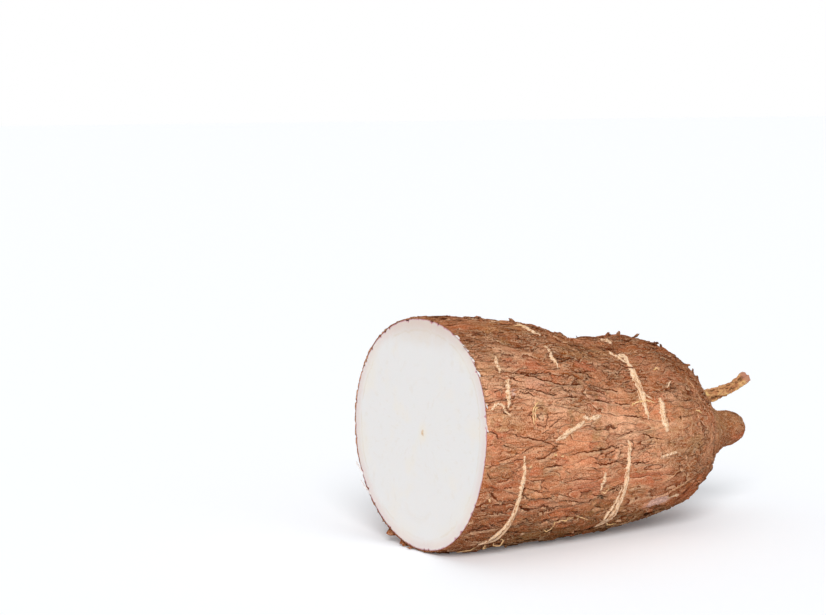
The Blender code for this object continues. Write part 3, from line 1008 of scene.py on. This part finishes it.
# The flakes that stand up highest: millimetres from the cut, degrees round, length and half width in
# millimetres, degrees turned from the grain, and how far the free edge curls up in millimetres.
STANDING_FLAKES = (
    (73, 88, 2.6, 0.9, 70, 1.7), (75, 86, 2, 0.7, 50, 1.4), (78.5, 86, 2.4, 0.6, 80, 1.6),
    (84, 90, 2.8, 1, 75, 2.2), (91, 92, 3.2, 1.2, 40, 1.5), (93, 96, 2.2, 0.8, 70, 1.3),
    (98, 118, 2, 0.8, 60, 1.2), (100.5, 122, 2.2, 0.9, 40, 1.3), (102.5, 126, 2.4, 0.8, 70, 1.2),
    (33, 92, 3, 1, 20, 1), (52, 90, 3.6, 1.2, 15, 0.9), (62, 86, 3, 0.9, 30, 1.1), (44, 84, 3, 1, -20, 1),
    (22, 86, 3.4, 1.1, 15, 0.9), (10, 88, 3, 1, 10, 0.8), (86.7, 106, 2.4, 0.9, 50, 0.9),
    (80, 70, 2.6, 0.9, 60, 1.3), (67, 60, 2.6, 0.9, 70, 1.2), (1.4, -78, 3.8, 1.8, 80, 1.6),
    (1.6, -72, 4.4, 1.8, 95, 2), (1.4, -66, 4, 1.6, 85, 2.1), (1.5, -60, 3.6, 1.6, 100, 1.9),
    (1.2, -54, 3.4, 1.4, 90, 1.5), (1, -48, 2.8, 1.2, 80, 1.2), (1, -12, 2.4, 0.8, 30, 1.1),
    (1, 2, 2.2, 0.7, 40, 1.1), (1, 20, 2.4, 0.8, 20, 0.9), (1, -148, 2.8, 1, 25, 1),
    (0.8, -138, 2.4, 0.8, 40, 0.9), (47, -116, 4, 1.2, 10, 0.9), (60, -112, 4, 1.3, -10, 0.9),
    (78, -122, 4.4, 1.4, 20, 1), (88.5, -138, 3.6, 1.2, 35, 1.2), (92, -146, 2.6, 1, 60, 1.1),
    (24, -115, 4.6, 1.4, 5, 0.9), (12, -114, 4, 1.2, -8, 0.8), (34, -126, 4, 1, 12, 0.9),
    (120, 60, 1.6, 0.6, 30, 0.6),
)


def flake(distance, degrees, length, half_width, lean, curl, rng):
    """A curled plate on the bark: where its middle is, its length and half width in millimetres, the angle
    it turns from the grain in degrees, and how far its free edge curls up."""
    centre, way_out = on_bark(distance, degrees)
    along = (ALONG - ALONG.dot(way_out) * way_out).normalized()
    aside = way_out.cross(along)
    turn = math.radians(lean)
    heading = math.cos(turn) * along + math.sin(turn) * aside
    across = way_out.cross(heading)
    free_side = rng.choice((-1, 1))
    free_end = rng.choice((-1, 1))
    grid = np.zeros((FLAKE_STEPS, FLAKE_SIDES + 1, 3))
    for i in range(FLAKE_STEPS):
        share = i / (FLAKE_STEPS - 1)
        span = (share - 0.5) * length
        width = half_width * math.sin(math.pi * min(0.94, max(0.06, share))) ** 0.5 * rng.uniform(0.7, 1.25)
        if i in (0, FLAKE_STEPS - 1):
            width *= 0.25
        shove = rng.uniform(-0.25, 0.25) * half_width
        loop = []
        for j in range(FLAKE_TOPS):
            side = -1 + 2 * j / (FLAKE_TOPS - 1)
            spot = centre + ((span + rng.uniform(-0.2, 0.2)) * heading + (side * width + shove) * across) * MM
            spot = onto_bark(spot, way_out)
            free = 0.5 + 0.5 * side * free_side
            end_free = 0.5 + 0.5 * (2 * share - 1) * free_end
            lift = curl * (0.75 * free ** 2 + 0.25 * end_free ** 2) - 0.1
            loop.append(spot + (lift + FLAKE_THICKNESS) * MM * way_out)
        for j in range(FLAKE_SIDES - FLAKE_TOPS):
            loop.append(loop[FLAKE_TOPS - 2 - j] - FLAKE_THICKNESS * 1.6 * MM * way_out)
        grid[i] = [tuple(point) for point in loop + loop[:1]]
    return sawn_off(closed_ends(grid))


def sawn_off(points):
    """The points, with those that would stand in front of the flesh moved back behind the cut."""
    offset = points - CENTRE_ROW
    distance = offset @ ALONG_ROW
    aside = offset - distance[..., None] * ALONG_ROW
    turned = np.arctan2(aside @ np.array(UP), aside @ np.array(SIDE))
    rim_radius = np.interp(turned, angles, rim_radii, period=2 * math.pi)
    too_near = (np.linalg.norm(aside, axis=-1) < rim_radius + 0.1 * MM) & (distance < BEHIND_CUT * MM)
    return points + np.where(too_near, BEHIND_CUT * MM - distance, 0)[..., None] * ALONG_ROW


rim_radii = np.linalg.norm(skin[0] - CENTRE_ROW, axis=1)
rng = random.Random(5)
grids = []
while len(grids) < FLAKES:
    distance = rng.uniform(1, FLAKED_LENGTH)
    degrees = rng.uniform(-180, 180)
    rough = 0.35 + 0.65 * abs(math.sin(math.radians(degrees))) ** 2
    if distance < RIM_ZONE:
        rough = 1
    if distance < FAR_RIM and math.cos(math.radians(degrees)) > 0.1:
        rough = 0.25
    if rng.random() > rough:
        continue
    length = rng.uniform(2, 8) * (1 if distance < TAIL_START else 0.6)
    half_width = min(0.35 * length, rng.uniform(0.5, 1.5))
    curl = rng.uniform(0.1, 0.45) + (0.35 if rng.random() < 0.15 else 0)
    grids.append(flake(distance, degrees, length, half_width, rng.gauss(0, 13), curl, rng))
grids += [flake(*sizes, rng) for sizes in STANDING_FLAKES]
flakes = closed_bodies("loose_flakes", grids)
grids = np.array(grids)
place = along_side_up(grids)
moves = [[rng.uniform(-FLAKE_SPREAD, FLAKE_SPREAD) for _ in range(3)] for _ in grids]
place += np.array(moves)[:, None, None]
around = place * np.array([0, 1, 1])
around = np.roll(around / np.linalg.norm(around, axis=-1, keepdims=True), -1, axis=-1)
around[..., 2] = 0.5
write_vectors(flakes, place=place, grain=place * np.array([GRAIN_LENGTH, 1, 1]), around=around,
              worn=0 * place + np.array([0, 0, FAR]), marks=0 * place)
flakes.data.materials.append(bark_material("loose_bark"))
sealed(flakes)
bpy.ops.object.shade_smooth_by_angle(angle=math.radians(50))
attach(flakes, "root")
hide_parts("cassava_root")


# --- The threads ----------------------------------------------------------------------------------
# Fine fibres: pale ones that have worked loose along the scars and the underside, a net of clay-coloured
# ones that the last roots left on the tail, and slivers of rind that the saw pulled up at the rim.

THREAD_STEPS = 16
THREAD_SIDES = 6
PALE_THREADS = (
    ((31, -129, 0.1), (32.6, -128, 0.8), (34, -130, 0.5), (34.4, -133, 0.3), (33.6, -134, 0.3)),
    ((34.4, -134, 0.3), (38, -135, 0.3), (43, -135, 0.3), (48.5, -132, 0.2)),
    ((14.5, -122, 0.3), (16, -120, 1), (17.4, -121, 1.2), (17.6, -124, 0.6), (16.4, -125, 0.3)),
    ((12, -121, 0.4), (12.6, -118, 1), (14, -117, 0.6)), ((10, -118, 0.4), (8, -114, 0.7), (5.5, -111, 0.3)),
    ((58.5, -124, 0.4), (61, -121, 0.4), (65, -120, 0.2)), ((64, 161, 0.2), (67, 160, 0.4), (70, 162, 0.2)),
    ((60, 163, 0.2), (62, 161, 0.5), (65, 160, 0.3)), ((74, 139, 0.1), (75.5, 138, 0.4), (77, 139, 0.1)),
    ((87, 168, 0.2), (89, 168, 0.4), (91, 170, 0.2)), ((47, -151, 0.2), (49, -150, 0.5), (50.5, -152, 0.2)),
    ((28, 105, 0.1), (31, 104, 0.4), (34, 106, 0.1)),
    ((20.2, 160, 0.1), (18.4, 161, 0.3), (17.2, 164, 0.3), (16.9, 168, 0.3), (17.5, 171, 0.1)),
    ((19.4, 162, 0.1), (18.2, 163, 0.3), (17.7, 166, 0.3), (17.6, 169, 0.1)),
    ((28.3, -173, 0), (28.9, -173, 0.4), (29.5, -173, 0)),
    ((25.7, -174, 0), (26.1, -174, 0.3), (26.6, -174, 0)),
    ((3.5, -153, 0), (3.9, -153, 0.3), (4.4, -152, 0)),
    ((16.3, -169, 0), (16.8, -169, 0.3), (17.3, -169, 0)), ((25, 20, 0.1), (28, 24, 0.5), (33, 22, 0.1)),
    ((60, 50, 0.1), (64, 54, 0.5), (70, 52, 0.1)), ((55, -40, 0.1), (60, -44, 0.5), (66, -41, 0.1)),
)
NET_THREADS = (
    ((68, 178), (68.2, -174), (68.3, -164)), ((75.2, 179), (75, -176), (75.8, -167)),
    ((80, 166), (80.5, 172), (80, 180), (80.8, -170)), ((84, 168), (84.5, 177), (84, -176)),
    ((89, 160), (88.6, 168), (89.2, 177), (89.9, -173)), ((87.7, -166), (89, -160), (91.5, -151)),
    ((80.7, -170), (82.6, -163), (85.6, -154)), ((80.4, -158), (84, -152), (88, -147)),
    ((72, -150), (77, -153), (82, -158)), ((66, 150), (72, 152), (78, 158), (83, 166)),
    ((92, 150), (93, 160), (92.5, 172), (93.5, -176)), ((96, 165), (96.8, 178), (96, -168)),
    ((70, 160), (74, 166), (80, 169)), ((76, -140), (82, -144), (90, -150)),
    ((86, 140), (90, 147), (91, 156)), ((99, 140), (100.5, 155), (100, 172)),
    ((94, -166), (97, -158), (98, -148)), ((101, 178), (102.5, -168), (102, -155)),
    ((74, 20), (78, 26), (84, 24)), ((86, 0), (86.6, 12), (85.8, 24)), ((92, 30), (93, 44), (92, 58)),
    ((80, -30), (85, -24), (91, -27)), ((95, -60), (96.5, -40), (95.5, -20)), ((88, 60), (92, 68), (97, 66)),
    ((98, 0), (99.5, 18), (98.5, 36)),
)
RIND_SLIVERS = (
    ((0, -42, -0.3), (-0.4, -37, 0.4), (-0.6, -31, 1.6)),
    ((0, -30, -0.3), (-0.5, -26, 0.3), (-0.9, -22, 0.9)),
    ((0, 126, -0.2), (-0.2, 129, 0.2), (0.2, 133, 0.3)),
    ((0.1, 134, -0.2), (-0.2, 137, 0.3), (0.2, 140, 0.2)),
    ((0, 142, -0.2), (0.1, 145, 0.3), (0.3, 147, 0.2)), ((0, 158, -0.2), (0.2, 160, 0.3), (0.6, 162, 0.2)),
    ((0, 118, -0.2), (-0.1, 121, 0.3), (0.3, 124, 0.2)), ((0, 168, -0.2), (0, 171, 0.2), (0.4, 173, 0.2)),
)
LAID_LEVEL = -0.02              # the height of a thread that lies on the bark all along
NET_CLAY = tint(218, 164, 128)


def thread(path, radius, rng):
    """A thin tapering fibre along a path on the bark: millimetres from the cut, degrees round, and
    millimetres above the bark."""
    path = np.array([(*knot, LAID_LEVEL)[:3] for knot in path])
    path[:, 1] = np.unwrap(path[:, 1], period=360)
    knots = smooth_line(path, THREAD_STEPS)
    knots[:, 0] += [rng.uniform(-0.15, 0.15) for _ in knots]
    knots[:, 1] += [rng.uniform(-0.5, 0.5) for _ in knots]
    points = []
    ways_out = []
    for distance, degrees, lift in knots.tolist():
        spot, way_out = on_bark(max(distance, BEHIND_CUT), degrees)
        points.append(spot + (lift * way_out + min(distance, 0) * ALONG) * MM)
        ways_out.append(way_out)
    grid = np.zeros((THREAD_STEPS, THREAD_SIDES + 1, 3))
    for i, (point, way_out) in enumerate(zip(points, ways_out)):
        heading = (points[min(i + 1, THREAD_STEPS - 1)] - points[max(i - 1, 0)]).normalized()
        aside = heading.cross(way_out).normalized()
        over = aside.cross(heading)
        thickness = 0
        if 0 < i < THREAD_STEPS - 1:
            thickness = radius * math.sin(math.pi * i / (THREAD_STEPS - 1)) ** 0.4 * rng.uniform(0.7, 1.2)
        for j in range(THREAD_SIDES + 1):
            angle = 2 * math.pi * (j % THREAD_SIDES) / THREAD_SIDES
            grid[i, j] = point + thickness * MM * (math.cos(angle) * aside + 0.7 * math.sin(angle) * over)
    return grid


def thread_material(name, colour, other):
    """A dry fibre, blotched along its length."""
    material, place = new_material(name, "place")
    blotched = place.cloud(1.1, 3, 0.6).rise(0.35, 0.65).blend(colour, other)
    return finished(material, blotched, place.cloud(2.5, 2), (0.5, 0.0003), 0.85, 0.1)


rng = random.Random(21)
for name, paths, radius, slot, colours in (
    ("pale_fibres", PALE_THREADS, 0.24, "corky_scar", (CORK, tint(228, 188, 126))),
    ("tail_net", NET_THREADS, 0.18, "bark", (NET_CLAY, OLIVE_DUST)),
    ("rind_slivers", RIND_SLIVERS, 0.32, "flesh", (FLESH, RIND)),
):
    grids = [thread(path, radius, rng) for path in paths]
    fibres = closed_bodies(name, grids)
    write_vectors(fibres, place=(np.array(grids) - CENTRE_ROW) / MM)
    fibres.data.materials.append(thread_material(name, *colours))
    sealed(fibres)
    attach(fibres, "root")
    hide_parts("cassava_root")


# --- The floor, the lights and the camera ---------------------------------------------------------
# A plain white sweep under soft, even studio light.

bpy.ops.mesh.primitive_plane_add(size=12)
floor = bpy.context.object
floor.name = "floor"
paper = new_material("white_floor")[0]
surface = paper.node_tree.nodes["Principled BSDF"]
surface.inputs["Base Color"].default_value = (0.9, 0.92, 0.95, 1)
surface.inputs["Emission Color"].default_value = (0.96, 0.97, 1, 1)
surface.inputs["Emission Strength"].default_value = 0.09
surface.inputs["Roughness"].default_value = 0.9
floor.data.materials.append(paper)

WALL_LIGHT = 0.49               # how brightly the walls light the root; the camera sees them plain white
world = bpy.data.worlds.new("studio")
bpy.context.scene.world = world
world.use_nodes = True
sky = Signal(world.node_tree)
seen = sky.node("ShaderNodeLightPath", {}, {}, "Is Camera Ray")
backdrop = world.node_tree.nodes["Background"]
backdrop.inputs["Color"].default_value = (1, 1, 1, 1)
world.node_tree.links.new((seen * (1 - WALL_LIGHT) + WALL_LIGHT).socket, backdrop.inputs["Strength"])

# Where each lamp shines from, how many degrees wide it is, and its power.
for name, place, spread, power in (
    ("key", (-0.65, -0.92, 0.72), 28, 2.5),
    ("top", (0.3, 0.2, 1), 60, 0.3),
):
    bpy.ops.object.light_add(type="SUN", location=place)
    lamp = bpy.context.object
    lamp.name = name
    lamp.rotation_euler = (-Vector(place)).to_track_quat("-Z", "Y").to_euler()
    lamp.data.angle = math.radians(spread)
    lamp.data.energy = power
bpy.context.scene.view_settings.view_transform = "Standard"

CAMERA_OFFSET = Vector((-0.3889, -0.5732, 0.1075))
CAMERA_TURN = math.radians(-34)
CAMERA_DIP = math.radians(5.7)
bpy.ops.object.camera_add(location=CUT_CENTRE + CAMERA_OFFSET)
camera = bpy.context.object
camera.rotation_euler = (math.pi / 2 - CAMERA_DIP, 0, CAMERA_TURN)
camera.data.sensor_width = 36
camera.data.lens = 99.7
camera.data.clip_end = 50
bpy.context.scene.camera = camera
